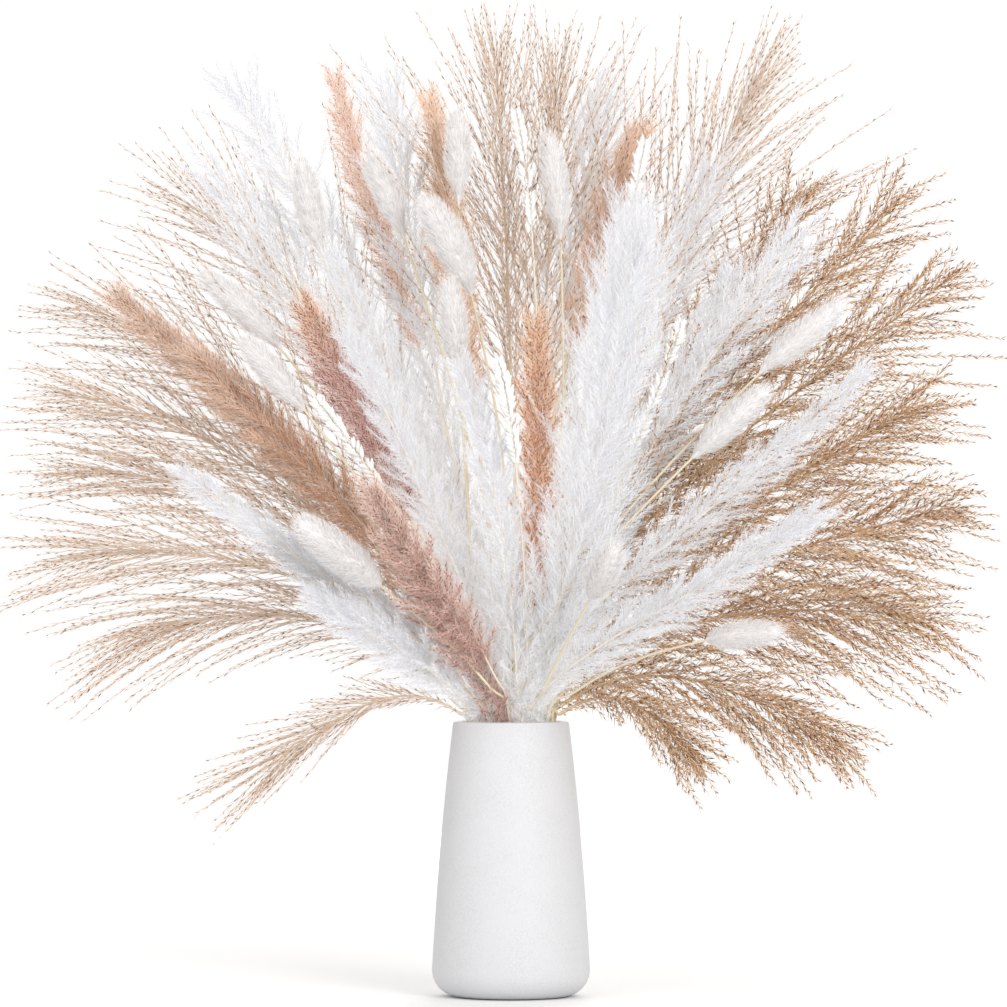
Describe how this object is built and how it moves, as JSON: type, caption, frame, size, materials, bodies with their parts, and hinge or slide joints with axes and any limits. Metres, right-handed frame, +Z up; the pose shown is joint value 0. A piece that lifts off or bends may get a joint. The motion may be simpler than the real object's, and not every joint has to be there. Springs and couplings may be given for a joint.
{
  "type": "bundle of pampas grass",
  "caption": "Mixed fan of dried pampas plumes, reed grass, bunny tails and white spikelet grass standing in a tapered matte ceramic vase.",
  "frame": {"origin": "middle of the vase's underside, on the surface it stands on", "axes": "+Z up, -Y towards the side of the fan that is meant to be seen, +X to the right seen from there"},
  "size_m": [0.4919, 0.192, 0.4989],
  "materials": {
    "vase_ceramic": "matte",
    "white_plume": "matte",
    "blush_plume": "matte",
    "bunny_tail_fur": "matte",
    "white_spikelet": "matte",
    "light_reed_grass": "matte",
    "brown_reed_grass": "matte"
  },
  "bodies": {
    "root": {"vase": "vase_ceramic", "white_pampas_01": "white_plume", "white_pampas_02": "white_plume", "white_pampas_03": "white_plume", "white_pampas_04": "white_plume", "white_pampas_05": "white_plume", "white_pampas_06": "white_plume", "white_pampas_07": "white_plume", "white_pampas_08": "white_plume", "white_pampas_09": "white_plume", "white_pampas_10": "white_plume", "white_pampas_11": "white_plume", "white_pampas_12": "white_plume", "white_pampas_13": "white_plume", "white_pampas_14": "white_plume", "white_pampas_15": "white_plume", "blush_pampas_01": "blush_plume", "blush_pampas_02": "blush_plume", "blush_pampas_03": "blush_plume", "blush_pampas_04": "blush_plume", "blush_pampas_05": "blush_plume", "blush_pampas_06": "blush_plume", "blush_pampas_07": "blush_plume", "blush_pampas_08": "blush_plume", "bunny_tail_01": "bunny_tail_fur", "bunny_tail_02": "bunny_tail_fur", "bunny_tail_03": "bunny_tail_fur", "bunny_tail_04": "bunny_tail_fur", "bunny_tail_05": "bunny_tail_fur", "bunny_tail_06": "bunny_tail_fur", "bunny_tail_07": "bunny_tail_fur", "bunny_tail_08": "bunny_tail_fur", "bunny_tail_09": "bunny_tail_fur", "bunny_tail_10": "bunny_tail_fur", "bunny_tail_11": "bunny_tail_fur", "bunny_tail_12": "bunny_tail_fur", "bunny_tail_13": "bunny_tail_fur", "spikelet_grass_01": "white_spikelet", "spikelet_grass_02": "white_spikelet", "spikelet_grass_03": "white_spikelet", "spikelet_grass_04": "white_spikelet", "spikelet_grass_05": "white_spikelet", "light_reed_01": "light_reed_grass", "light_reed_02": "light_reed_grass", "light_reed_03": "light_reed_grass", "light_reed_04": "light_reed_grass", "light_reed_05": "light_reed_grass", "light_reed_06": "light_reed_grass", "light_reed_07": "light_reed_grass", "light_reed_08": "light_reed_grass", "light_reed_09": "light_reed_grass", "light_reed_10": "light_reed_grass", "brown_reed_01": "brown_reed_grass", "brown_reed_02": "brown_reed_grass", "brown_reed_03": "brown_reed_grass", "brown_reed_04": "brown_reed_grass", "brown_reed_05": "brown_reed_grass", "brown_reed_06": "brown_reed_grass", "brown_reed_07": "brown_reed_grass", "brown_reed_08": "brown_reed_grass"}
  },
  "joints": []
}
